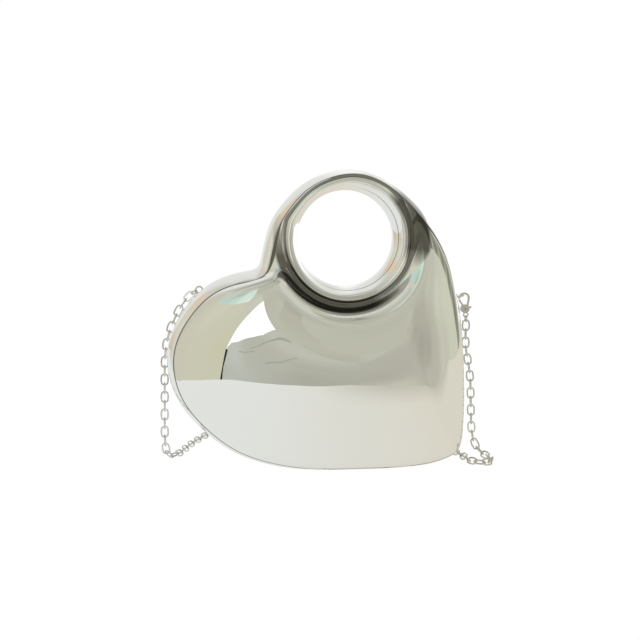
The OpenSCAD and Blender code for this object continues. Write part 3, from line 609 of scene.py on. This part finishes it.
def sidePoint(u, share):
    return atDepth(drawnIn(u, share * share), widestY + (backEdgeY - widestY) * share)


def backPoint(u, s):
    a, b = edgeAt(u)[..., :2], roundHole(u, footRadius(u, 0))
    length = np.linalg.norm(b - a, axis=-1)
    y = widestY + (heart["grooveDepth"] - widestY) * s * s + faceHeight(
        s, length, backCrown, heart["backDrop"], heart["backPower"])
    return atDepth(a + (b - a) * s, y)


def profileCurve(points, per):
    # centripetal curve through a section's points, from the groove towards the tunnel
    p = np.array(points, float)
    p = np.vstack([2 * p[0] - p[1], p, 2 * p[-1] - p[-2]])
    t = np.concatenate([[0], np.cumsum(np.sqrt(np.linalg.norm(np.diff(p, axis=0), axis=1)))])

    def between(x, low, a, high, b):
        return (t[high] - x) / (t[high] - t[low]) * a + (x - t[low]) / (t[high] - t[low]) * b

    out = []
    for i in range(1, len(p) - 2):
        for k in range(per):
            x = t[i] + (t[i + 1] - t[i]) * k / per
            a1 = between(x, i - 1, p[i - 1], i, p[i])
            a2 = between(x, i, p[i], i + 1, p[i + 1])
            a3 = between(x, i + 1, p[i + 1], i + 2, p[i + 2])
            b1 = between(x, i - 1, a1, i + 1, a2)
            b2 = between(x, i, a2, i + 2, a3)
            out.append(between(x, i, b1, i + 1, b2))
    return out + [p[-2]]


def collarRows(u, side, per):
    # from the groove over the bead and down the tunnel to the parting line
    outerGroove = (1, heart["grooveDepth"] / heart["bead"])
    middle = collarShares[-1]
    edgeY = frontEdgeY if side < 0 else backEdgeY

    def tunnelShare(y):
        return middle[0] * (y / (heart["bead"] * middle[1])) ** 2

    section = [outerGroove] + collarShares
    if side < 0:
        section = section[:-1] + [(tunnelShare(edgeY), -edgeY / heart["bead"])]
    else:
        section += [(tunnelShare(y), y / heart["bead"]) for y in (*heart["tunnelRows"], edgeY)]
    rows = []
    foot = footRadius(u, 1 if side < 0 else 0)
    for c in profileCurve(section, per)[1:]:
        radius = heart["throat"] + (np.minimum(foot, heart["groove"]) - heart["throat"]) * c[0]
        rows.append(atDepth(roundHole(u, radius), side * heart["bead"] * c[1]))
    return rows


def spaced(count):
    # close together at both ends of a face
    return 0.5 - 0.5 * np.cos(np.pi * np.arange(count + 1) / count)


def frontRows(u, faceCount, per):
    rows = [frontPoint(u, s) for s in spaced(faceCount)]
    return np.array(rows + collarRows(u, -1, per))


def backRows(u, sideCount, faceCount, per):
    rows = [sidePoint(u, 1 - k / sideCount) for k in range(sideCount)]
    rows += [backPoint(u, s) for s in spaced(faceCount)]
    return np.array(rows + collarRows(u, 1, per))


def normalsOf(rows, flip, closed=True):
    if closed:
        across = np.roll(rows, -1, 1) - np.roll(rows, 1, 1)
    else:
        across = np.empty_like(rows)
        across[:, 1:-1] = rows[:, 2:] - rows[:, :-2]
        across[:, 0] = rows[:, 1] - rows[:, 0]
        across[:, -1] = rows[:, -1] - rows[:, -2]
    down = np.empty_like(rows)
    down[1:-1] = rows[2:] - rows[:-2]
    down[0] = rows[1] - rows[0]
    down[-1] = rows[-1] - rows[-2]
    return unit(np.cross(down, across)) * flip


def movedIn(rows, depth, flip):
    out = normalsOf(rows, flip)
    for j in (0, -1):  # the rims stay in their parting plane
        out[j, :, 1] = 0
        out[j] = unit(out[j])
    return rows - depth * out


def floored(rows, height):
    rows = rows.copy()
    rows[..., 2] = np.maximum(rows[..., 2], height)
    return rows


def laidGrid(points):
    # a grid with its vertices laid on rows of points
    clearSelection()
    rows, columns = points.shape[:2]
    bpy.ops.mesh.primitive_grid_add(x_subdivisions=columns - 1, y_subdivisions=rows - 1, size=1)
    piece = bpy.context.object
    piece.data.vertices.foreach_set("co", points.astype(np.float32).ravel())
    piece.data.update()
    return piece


def wrapShell(outer, inner):
    # a fine grid laid over the outside, round the rims and back over the inside, then sewn shut
    loop = np.concatenate([outer, inner[::-1], outer[:1]])
    loop = np.concatenate([loop, loop[:, :1]], axis=1)
    piece = laidGrid(loop)
    bpy.ops.object.mode_set(mode="EDIT")
    bpy.ops.mesh.select_all(action="SELECT")
    bpy.ops.mesh.remove_doubles(threshold=heart["weld"])
    bpy.ops.mesh.normals_make_consistent(inside=False)
    bpy.ops.object.mode_set(mode="OBJECT")
    return piece


def cutBox(piece, low, high):
    clearSelection()
    middle = [(a + b) / 2 for a, b in zip(low, high)]
    bpy.ops.mesh.primitive_cube_add(size=1, location=middle)
    cutter = bpy.context.object
    cutter.scale = [b - a for a, b in zip(low, high)]
    bpy.context.view_layer.update()
    cut = piece.modifiers.new("notch", "BOOLEAN")
    cut.operation = "DIFFERENCE"
    cut.solver = "EXACT"
    cut.object = cutter
    applyAll(piece)
    bpy.data.objects.remove(cutter)


# the shells' mirror plating; its dark colour is painted shade in the ring's groove and at the parting line
mirrorPlatingWithPaintedShade = platingWithPaintedShade("mirrorPlatingWithPaintedShade", {
    "colour": (0.93, 0.935, 0.925), "dark": (0.17, 0.165, 0.15), "smearScale": 14, "dustScale": 700,
    "clean": 0.012, "smeared": 0.045, "wave": 0.00002,
    "recess": {"Hole X": heart["holeX"], "Hole Z": heart["holeZ"], "Parting Y": partingY,
               "Parting half": 0.0011, "Floor Y": -heart["grooveDepth"], "Floor half": 0.0006,
               "Groove in": 0.036, "Groove out": 0.0475, "Groove Y": -0.0225, "Soft": 0.003}})

hinge = {"x": 0.024, "length": 0.038, "radius": 0.0015, "lift": 0.00175, "gap": 0.0003, "leaf": 0.0008,
         "below": 0.002}
shellU = np.arange(heart["columns"]) * knotCount / heart["columns"]
notchHalf = (hinge["length"] / 2 + hinge["gap"], hinge["radius"] + hinge["gap"])
notchLow = (hinge["x"] - notchHalf[0], partingY - notchHalf[1], -hinge["below"])
notchHigh = (hinge["x"] + notchHalf[0], partingY + notchHalf[1],
             hinge["lift"] + hinge["radius"] + hinge["gap"] + hinge["leaf"])

frontOuter = frontRows(shellU, *heart["frontOuterRows"])
frontInner = frontRows(shellU, *heart["frontInnerRows"])
frontShell = wrapShell(floored(frontOuter, heart["lift"]),
                       floored(movedIn(frontInner, heart["wall"], 1), heart["lift"] + heart["wall"]))
cutBox(frontShell, notchLow, notchHigh)
finishPiece(frontShell, "front_mirror_shell", "lid", mirrorPlatingWithPaintedShade, heart["smooth"])
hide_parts("front_shell")

backOuter = backRows(shellU, *heart["backOuterRows"])
backInner = backRows(shellU, *heart["backInnerRows"])
backShell = wrapShell(floored(backOuter, 0), floored(movedIn(backInner, heart["wall"], -1), heart["wall"]))
cutBox(backShell, notchLow, notchHigh)
finishPiece(backShell, "back_mirror_shell", "case", mirrorPlatingWithPaintedShade, heart["smooth"])
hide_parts("back_shell")
print("shells made")


# ---- linings
lining = {"gap": 0.0023, "thickness": 0.0008, "first": 0.111, "last": 0.75, "columns": 120,
          "frontShares": (0.07, 0.85, 30), "sideShares": (0.66, 0.04, 8), "backShares": (0.0, 0.949, 34),
          "smooth": 60, "frontCut": (0.18, 0.15), "backCut": (0.24, 0.2)}


def liningPiece(name, rows, flip, lowest, body):
    normals = normalsOf(rows, flip, False)
    m, n = rows.shape[:2]
    piece = laidGrid(floored(rows - lining["gap"] * normals, lowest))
    area = sum(p.area for p in piece.data.polygons)
    thick = piece.modifiers.new("cloth", "SOLIDIFY")
    thick.thickness = lining["thickness"]
    # the grid's faces look one way, so the cloth grows away from the shell
    middle = piece.data.polygons[len(piece.data.polygons) // 2]
    away = Vector(normals[m // 2, n // 2])
    thick.offset = -1 if middle.normal.dot(away) > 0 else 1
    applyAll(piece)
    finishPiece(piece, name, body, liningSatin, lining["smooth"])
    return piece, area


liningU = np.linspace(lining["first"], lining["last"], lining["columns"]) * knotCount
frontCloth, frontArea = liningPiece(
    "front_satin_lining", np.array([frontPoint(liningU, s) for s in np.linspace(*lining["frontShares"])]), 1,
    heart["lift"] + lining["gap"], "lid")
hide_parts("front_lining")
backCloth, backArea = liningPiece(
    "back_satin_lining",
    np.array([sidePoint(liningU, s) for s in np.linspace(*lining["sideShares"])]
             + [backPoint(liningU, s) for s in np.linspace(*lining["backShares"]) ** 2]), -1,
    lining["gap"], "case")
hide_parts("back_lining")
print("linings made, areas", round(frontArea, 5), round(backArea, 5))


# ---- CAD pieces that stay take their finish here
def dressNode(name, material):
    node = nodes[name]
    node.data.materials.clear()
    node.data.materials.append(material)


for name in ("left_eyelet", "right_eyelet", "eyelet_washers", "eyelet_nuts", "claw_body", "claw_trigger",
             "hinge_back_screws", "hinge_front_screws"):
    dressNode(name, polishedFitting)
for name in ("left_jump_ring", "right_jump_ring"):
    dressNode(name, polishedChain)
for name in ("hinge_back_leaf", "hinge_front_leaf", "hinge_pin", "back_magnet_brackets", "claw_rivet"):
    dressNode(name, hingeSteel)
for name in ("back_magnets", "front_magnets"):
    dressNode(name, magnetPlating)
print("fittings dressed")


# ---- stage: a paper sheet on the table, and far glowing panels that the mirror shows
stage = {
    "paper": (0.9, 0.9, 0.89), "paperRoughness": 0.8, "seen": 0.86, "mirrored": 0.85, "glow": 1.09,
    "leftTone": (226, 228, 225), "rightTone": (218, 212, 197), "toneFrom": -0.06, "toneTo": 0.12,
    "farTone": (190, 187, 173), "farFrom": -0.11, "farTo": -0.2, "farSideFrom": 0.01, "farSideTo": 0.075,
    "distance": 12.0, "centre": (0.0, -0.02, 0.1), "spread": 1.0, "fade": 1.5, "gamma": 2.4,
    "plating": 0.93, "room": (200, 201, 190), "white": 1.02,
    "edge": [(-0.3, 0.2), (-0.262, 0.03), (-0.25, -0.012), (-0.235, -0.07), (-0.205, -0.103),
             (-0.175, -0.122), (-0.15, -0.136), (-0.13, -0.145), (-0.09, -0.165), (-0.05, -0.19),
             (0.0, -0.21), (0.045, -0.235), (0.1, -0.19), (0.36, -0.21), (0.8, -0.22), (0.9, 1.0),
             (-0.9, 1.0)],
}
keyLamp = {"place": (-0.9, -0.8, 1.6), "aim": (0, 0, 0.08), "watts": 9, "size": 0.9}


def toned(r, g, b):
    # a colour as it should look in the mirror, as a light's colour
    return tuple(((c / 255 + 0.055) / 1.055) ** stage["gamma"] / stage["plating"] for c in (r, g, b))


def blendedTone(tones, place):
    # the nearer a named tone, the more it counts
    weights = [1 / ((place[0] - az) ** 2 + (place[1] - el) ** 2 + stage["spread"]) ** stage["fade"]
               for az, el, tone in tones]
    total = sum(weights)
    return [sum(w * tone[k] for w, (az, el, tone) in zip(weights, tones)) / total for k in range(3)]


def glowMaterial():
    m = bpy.data.materials.new("panelGlow")
    m.use_nodes = True
    n = m.node_tree.nodes
    n.clear()
    paint = n.new("ShaderNodeVertexColor")
    paint.layer_name = "tone"
    glow = n.new("ShaderNodeEmission")
    out = n.new("ShaderNodeOutputMaterial")
    m.node_tree.links.new(paint.outputs["Color"], glow.inputs["Color"])
    m.node_tree.links.new(glow.outputs["Emission"], out.inputs["Surface"])
    return m


panelGlow = glowMaterial()


def glowPanel(name, outline, tones, nearer=0.0, step=2.5):
    # outline and tones by azimuth and elevation, as seen from the purse; azimuth 0 is the camera's side
    clearSelection()
    low = [min(p[k] for p in outline) for k in (0, 1)]
    high = [max(p[k] for p in outline) for k in (0, 1)]
    mesh = bpy.data.meshes.new(name)
    mesh.from_pydata([(az, el, 0) for az, el in outline], [], [list(range(len(outline)))])
    panel = bpy.data.objects.new(name, mesh)
    bpy.context.scene.collection.objects.link(panel)
    pick(panel)
    bpy.ops.object.mode_set(mode="EDIT")
    for k in (0, 1):  # parted along lines of equal azimuth and elevation, so that it can follow the sphere
        for i in range(1, int((high[k] - low[k]) / step) + 1):
            place, normal = [0, 0, 0], [0, 0, 0]
            place[k], normal[k] = low[k] + i * step, 1
            bpy.ops.mesh.select_all(action="SELECT")
            bpy.ops.mesh.bisect(plane_co=place, plane_no=normal)
    bpy.ops.object.mode_set(mode="OBJECT")
    paint = mesh.color_attributes.new("tone", "FLOAT_COLOR", "POINT")
    centre = Vector(stage["centre"])
    for v in mesh.vertices:
        paint.data[v.index].color = (*blendedTone(tones, v.co), 1)
        az, el = math.radians(v.co.x), math.radians(v.co.y)
        ray = Vector((math.sin(az) * math.cos(el), -math.cos(az) * math.cos(el), math.sin(el)))
        v.co = centre + ray * (stage["distance"] - nearer)
    panel.data.materials.append(panelGlow)
    panel.visible_camera = False
    return panel


cream = toned(201, 199, 179)
whiteEdge = [(-24, -12), (-20.5, -9.6), (-15, -9.3), (-10, -8), (-5, -6.9), (0, -5.2), (5.6, -1.8)]
leftEdge = [(-29, -26), (-24, -12), (-21, -8), (-17, -3), (-13.5, 0.5), (-8, 5.5), (-3, 10.5), (0.2, 12.5)]
glowPanel("creamWall",
          [(-135, -50), (-30, -50)] + leftEdge + [(-4, 20), (-7, 27), (-15, 31), (-24, 48), (-60, 49),
           (-90, 49), (-135, 48)],
          [(-85, 5, toned(200, 197, 180)), (-50, 0, cream), (-30, -10, toned(200, 198, 174)),
           (-30, 22, toned(202, 200, 180)), (-5, 18, toned(200, 199, 185)),
           (-60, 30, toned(203, 203, 185)), (-130, 0, toned(190, 186, 170)),
           (-8, 28, toned(192, 191, 178))])
glowPanel("mintPanel",
          [(-90, 41.5), (-60, 35.5), (-40, 28.5), (-28, 24.5), (-19, 22), (-17, 27), (-19, 36),
           (-26, 48), (-60, 49), (-90, 47)],
          [(-85, 44, toned(186, 208, 200)), (-50, 36, toned(193, 216, 203)),
           (-30, 30, toned(213, 226, 216)), (-22, 30, toned(200, 226, 214)),
           (-20, 24, toned(226, 234, 228)), (-50, 47, toned(172, 186, 170))], 0.3)
glowPanel("softBox", whiteEdge + leftEdge[:1:-1],
          [(0, 0, (1.25, 1.25, 1.25))], 0.2, 8)
glowPanel("boxFrame", [(-30.2, -27), (-28.6, -27), (-26.6, -20), (-22.8, -12.6), (-24.4, -12)],
          [(-27, -20, toned(38, 42, 36))], 0.5, 8)
glowPanel("greyWall",
          [(-29, -50), (8, -50), (8, -16), (7.2, -2), (5.6, -1.8)] + whiteEdge[-2::-1] + [(-29, -26)],
          [(-26, -24, toned(181, 185, 174)), (-18, -14, toned(190, 192, 184)),
           (-8, -14, toned(180, 182, 170)), (0, -12, toned(180, 181, 168)), (5, -5, toned(190, 191, 178)),
           (7, -2, toned(188, 188, 174)), (6, -10, toned(175, 175, 161)), (4, -16, toned(170, 170, 157)),
           (2, -22, toned(172, 172, 160))])
folds = [[(6.6, -2.2), (3, -5.2), (-3, -9.2), (-8, -11.4)], [(-6, -12), (-11, -13.2), (-15, -13)],
         [(5, -7), (1, -11), (-4, -14.5)]]
for k, fold in enumerate(folds):
    band = fold + [(az - 0.15, el - 0.45) for az, el in fold[::-1]]
    glowPanel("wallFold%d" % k, band, [(0, 0, toned(162, 164, 153))], 0.3, 8)
glowPanel("topWall",
          [(5.6, -1.8), (7.2, -2), (9, 2.5), (17, 12.5), (34, 28), (40, 52), (-24, 52), (-24, 48),
           (-15, 31), (-7, 27), (-4, 20), (0.2, 12.5)],
          [(7, 3, toned(187, 186, 172)), (5, 8, toned(184, 183, 169)), (12, 8, toned(189, 188, 173)),
           (3, 18, toned(187, 186, 171)), (17, 14, toned(182, 181, 167)), (24, 20, toned(183, 182, 167)),
           (0, 28, toned(188, 187, 173)), (12, 36, toned(190, 190, 176)), (0, 40, toned(180, 179, 165)),
           (28, 35, toned(192, 191, 177)), (10, 52, toned(176, 174, 161)), (35, 50, toned(184, 183, 170))])
glowPanel("ceiling", [(-180, 52), (180, 52), (180, 89), (-180, 89)],
          [(-90, 54, toned(196, 200, 188)), (0, 54, toned(182, 181, 168)), (90, 54, toned(190, 190, 176)),
           (180, 56, toned(190, 192, 184)), (-179, 56, toned(190, 192, 184)),
           (-60, 66, toned(186, 188, 176)), (60, 66, toned(170, 169, 156)), (0, 82, toned(150, 149, 136)),
           (120, 82, toned(150, 149, 136)), (-120, 82, toned(160, 160, 148))], 0, 6)
glowPanel("rightWall",
          [(8, -50), (135, -50), (135, 5), (112, 12), (90, 24), (72, 30), (50, 31), (34, 28), (17, 12.5),
           (9, 2.5), (7.2, -2), (8, -16)],
          [(8, 0, toned(186, 185, 171)), (8, -6, toned(178, 177, 164)), (12, -3, toned(177, 175, 162)),
           (12, 4, toned(182, 181, 167)), (16, 2, toned(168, 166, 153)), (17, 9, toned(174, 172, 159)),
           (24, -2, toned(165, 163, 150)), (35, -4, toned(168, 166, 152)), (26, 12, toned(176, 175, 160)),
           (50, -4, toned(182, 180, 166)), (75, -3, toned(194, 193, 178)), (100, -5, toned(200, 200, 182)),
           (24, 18, toned(183, 182, 167)), (38, 20, toned(192, 191, 175)), (60, 12, toned(202, 202, 185)),
           (80, 8, toned(202, 203, 184)), (95, 4, toned(202, 204, 184)), (55, 24, toned(190, 190, 176)),
           (15, -13, toned(180, 178, 165)), (36, -12, toned(184, 182, 168)),
           (70, -15, toned(202, 199, 184)), (12, -20, toned(196, 193, 178)),
           (50, -25, toned(206, 200, 184)), (9, -14, toned(174, 172, 159))])
glowPanel("darkCurtain",
          [(40, 27.4), (52, 27.6), (66, 25), (78, 19), (90, 10.5), (103, 1.5), (116, -6), (128, -9),
           (128, -2), (112, 6), (98, 17), (86, 25), (72, 30), (55, 31)],
          [(45, 28, toned(170, 170, 156)), (60, 28, toned(118, 118, 108)),
           (74, 24.5, toned(122, 122, 110)), (86, 17.5, toned(128, 126, 112)),
           (97, 9.5, toned(122, 121, 106)), (108, 1, toned(112, 112, 98)), (120, -5, toned(140, 140, 126)),
           (64, 25, toned(172, 172, 158)), (78, 19, toned(176, 174, 160)), (92, 9, toned(180, 178, 162)),
           (105, 0.2, toned(176, 175, 160)), (80, 28, toned(160, 160, 148)),
           (95, 19, toned(165, 165, 150)), (110, 8, toned(160, 160, 146))], 0.3, 1.5)
glowPanel("wallSeam",
          [(44, -17.4), (52, -15.6), (60, -14.5), (80, -12.5), (110, -10.4), (110, -10.8), (80, -13),
           (60, -15.1), (52, -16.1), (44, -17.7)],
          [(70, -14, toned(158, 155, 142))], 0.4, 8)
glowPanel("backdrop", [(140, -45), (232, -45), (232, 54), (140, 54)],
          [(150, 5, (1.05, 1.05, 1.05)), (175, 0, (1.05, 1.05, 1.05)), (190, 25, (0.8, 0.8, 0.78)),
           (172, 28, (1.0, 1.0, 0.98)), (197, 40, toned(222, 222, 218)), (205, 20, toned(222, 223, 217)),
           (222, 30, toned(196, 196, 186)), (215, -25, toned(205, 207, 203)),
           (160, 30, toned(218, 218, 212)), (180, 60, toned(190, 192, 184)),
           (216, 50, toned(190, 192, 180))], 0, 4)
glowPanel("tanStrip",
          [(207, -9), (222, -9), (229, 2), (231, 20), (222, 38), (214, 32), (212, 20), (214, 8),
           (208, 0)],
          [(213, -7, toned(196, 176, 156)), (218, 2, toned(206, 198, 178)),
           (219, 13, toned(208, 206, 186)), (216, 26, toned(218, 196, 172)),
           (228, 12, toned(214, 210, 198)), (222, 33, toned(214, 200, 184))], 0.3, 3)


def sheetPaper(s):
    # white to the camera, with the tone that the mirror shows, and plain paper to the lamps
    m, n, link, shader = newMaterial("sheetPaper")
    shader.inputs["Base Color"].default_value = (*s["paper"], 1)
    shader.inputs["Roughness"].default_value = s["paperRoughness"]
    coords = n.new("ShaderNodeTexCoord")
    part = n.new("ShaderNodeSeparateXYZ")
    link.new(coords.outputs["Object"], part.inputs[0])

    def ramp(axis, start, end):
        node = n.new("ShaderNodeMapRange")
        node.inputs["From Min"].default_value = start
        node.inputs["From Max"].default_value = end
        link.new(part.outputs[axis], node.inputs["Value"])
        return node.outputs["Result"]

    def mixedTone(amount, first, second):
        node = n.new("ShaderNodeMix")
        node.data_type = "RGBA"
        link.new(amount, node.inputs["Factor"])
        for key, colour in (("A", first), ("B", second)):
            if isinstance(colour, tuple):
                node.inputs[key].default_value = (*toned(*colour), 1)
            else:
                link.new(colour, node.inputs[key])
        return node.outputs["Result"]

    def multiplied(amount, factor):
        node = n.new("ShaderNodeMath")
        node.operation = "MULTIPLY"
        link.new(amount, node.inputs[0])
        if isinstance(factor, float):
            node.inputs[1].default_value = factor
        else:
            link.new(factor, node.inputs[1])
        return node.outputs[0]

    def mixedShader(amount, first, second):
        node = n.new("ShaderNodeMixShader")
        link.new(amount, node.inputs["Fac"])
        link.new(first, node.inputs[1])
        link.new(second, node.inputs[2])
        return node.outputs["Shader"]

    tone = mixedTone(ramp("X", s["toneFrom"], s["toneTo"]), s["leftTone"], s["rightTone"])
    # towards the front right the sheet turns as dark as the wall behind it
    far = multiplied(ramp("Y", s["farFrom"], s["farTo"]), ramp("X", s["farSideFrom"], s["farSideTo"]))
    mirrored = n.new("ShaderNodeEmission")
    link.new(mixedTone(far, tone, s["farTone"]), mirrored.inputs["Color"])
    white = n.new("ShaderNodeEmission")
    white.inputs["Strength"].default_value = s["glow"]
    ray = n.new("ShaderNodeLightPath")
    plain = mixedShader(multiplied(ray.outputs["Is Glossy Ray"], s["mirrored"]), shader.outputs["BSDF"],
                        mirrored.outputs["Emission"])
    whole = mixedShader(multiplied(ray.outputs["Is Camera Ray"], s["seen"]), plain,
                        white.outputs["Emission"])
    link.new(whole, n["Material Output"].inputs["Surface"])
    return m


def paperSheet(s):
    clearSelection()
    mesh = bpy.data.meshes.new("floor")
    mesh.from_pydata([(x, y, 0) for x, y in s["edge"]], [], [list(range(len(s["edge"])))])
    floor = bpy.data.objects.new("floor", mesh)
    bpy.context.scene.collection.objects.link(floor)
    floor.data.materials.append(sheetPaper(s))


def studioWorld(s):
    # white to the camera, and a pale room to everything else
    world = bpy.data.worlds.new("studio")
    bpy.context.scene.world = world
    world.use_nodes = True
    n, link = world.node_tree.nodes, world.node_tree.links
    sky = n["Background"]
    sky.inputs["Color"].default_value = (*toned(*s["room"]), 1)
    sky.inputs["Strength"].default_value = 1
    white = n.new("ShaderNodeBackground")
    white.inputs["Color"].default_value = (1, 1, 1, 1)
    white.inputs["Strength"].default_value = s["white"]
    ray = n.new("ShaderNodeLightPath")
    mix = n.new("ShaderNodeMixShader")
    link.new(ray.outputs["Is Camera Ray"], mix.inputs["Fac"])
    link.new(sky.outputs["Background"], mix.inputs[1])
    link.new(white.outputs["Background"], mix.inputs[2])
    link.new(mix.outputs["Shader"], n["World Output"].inputs["Surface"])


def areaLamp(s):
    # the mirror doesn't show it
    bpy.ops.object.light_add(type="AREA", location=s["place"])
    lamp = bpy.context.object
    lamp.data.energy = s["watts"]
    lamp.data.size = s["size"]
    lamp.visible_glossy = False
    lamp.rotation_euler = (Vector(s["aim"]) - lamp.location).to_track_quat("-Z", "Y").to_euler()


paperSheet(stage)
studioWorld(stage)
areaLamp(keyLamp)
bpy.context.scene.view_settings.view_transform = "Standard"
print("stage set")
